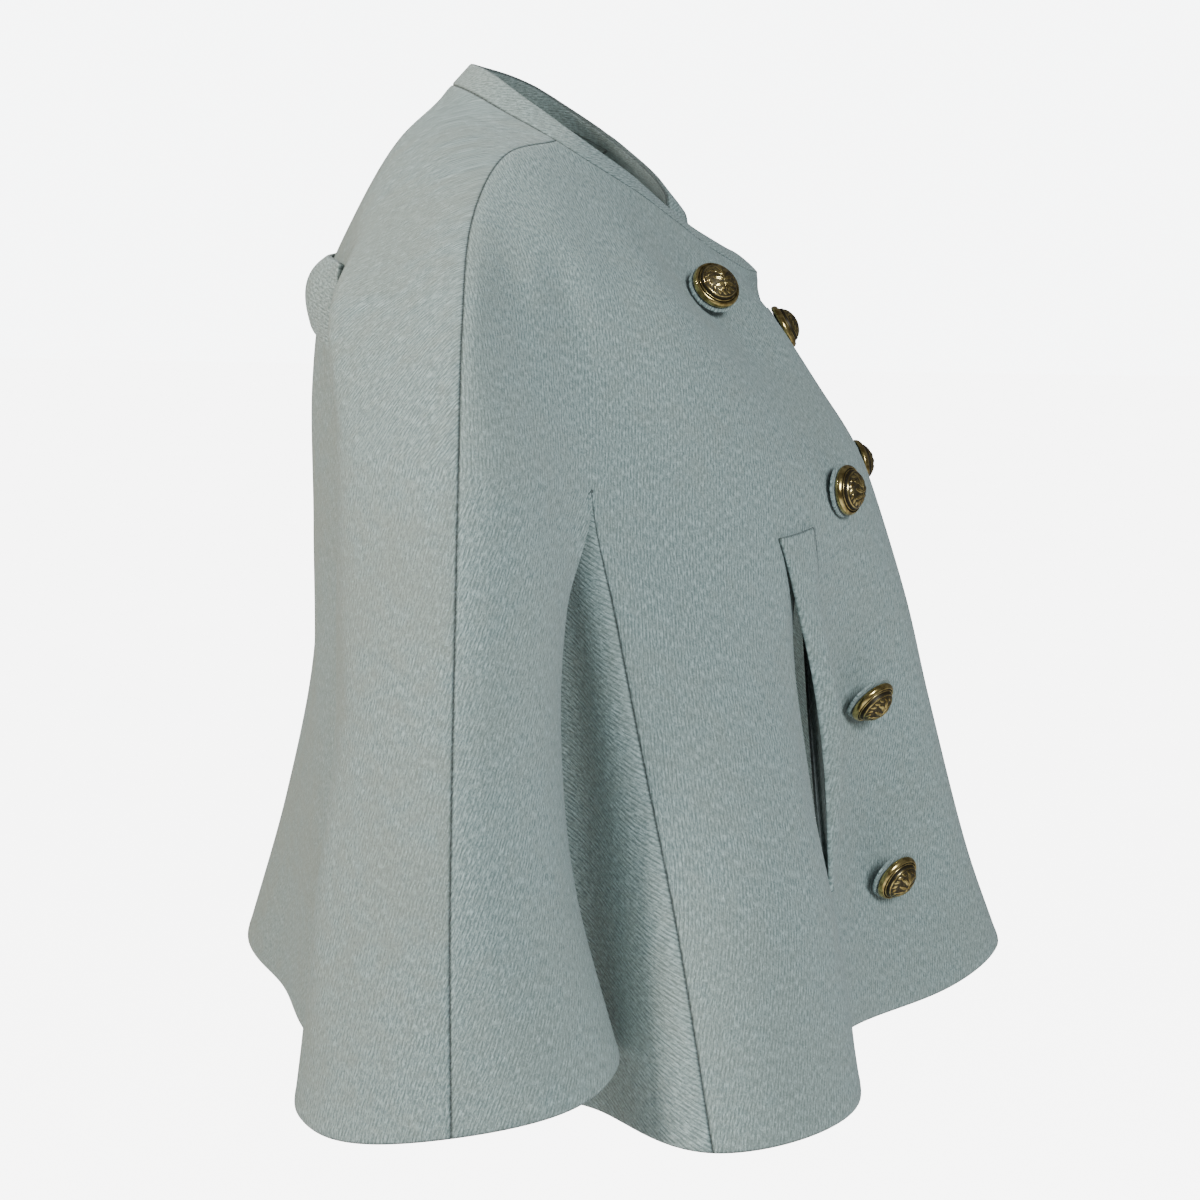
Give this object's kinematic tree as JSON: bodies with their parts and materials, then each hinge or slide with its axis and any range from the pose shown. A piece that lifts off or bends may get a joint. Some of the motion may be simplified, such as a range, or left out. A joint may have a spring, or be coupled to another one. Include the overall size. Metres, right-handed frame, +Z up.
{
  "type": "napoleon jacket",
  "caption": "Double-breasted napoleon jacket with wide cape sleeves cut in one with the body, a narrow neck band, welt pockets, a half belt and domed buttons, in the form of wear.",
  "frame": {"origin": "middle of the neck opening, level with the nape, where the wearer's neck holds the jacket", "axes": "+X to the wearer's left, +Y to the wearer's back, +Z up"},
  "size_m": [0.6502, 0.4699, 0.5421],
  "materials": {
    "wool_twill": "heathered grey-green wool twill with a soft nap",
    "antique_brass": "cast relief, dark in the hollows and rubbed bright on the high places"
  },
  "bodies": {
    "root": {"front_right": "wool_twill", "front_left": "wool_twill", "back_right": "wool_twill", "back_left": "wool_twill", "side_panel_right": "wool_twill", "side_panel_left": "wool_twill", "neck_band": "wool_twill", "welt_right": "wool_twill", "welt_left": "wool_twill", "back_belt": "wool_twill", "button_backing_r1": "wool_twill", "button_backing_r2": "wool_twill", "button_backing_r3": "wool_twill", "button_backing_r4": "wool_twill", "button_backing_l1": "wool_twill", "button_backing_l2": "wool_twill", "button_backing_l3": "wool_twill", "button_backing_l4": "wool_twill", "button_r1": "antique_brass", "button_r2": "antique_brass", "button_r3": "antique_brass", "button_r4": "antique_brass", "button_l1": "antique_brass", "button_l2": "antique_brass", "button_l3": "antique_brass", "button_l4": "antique_brass"}
  },
  "joints": []
}
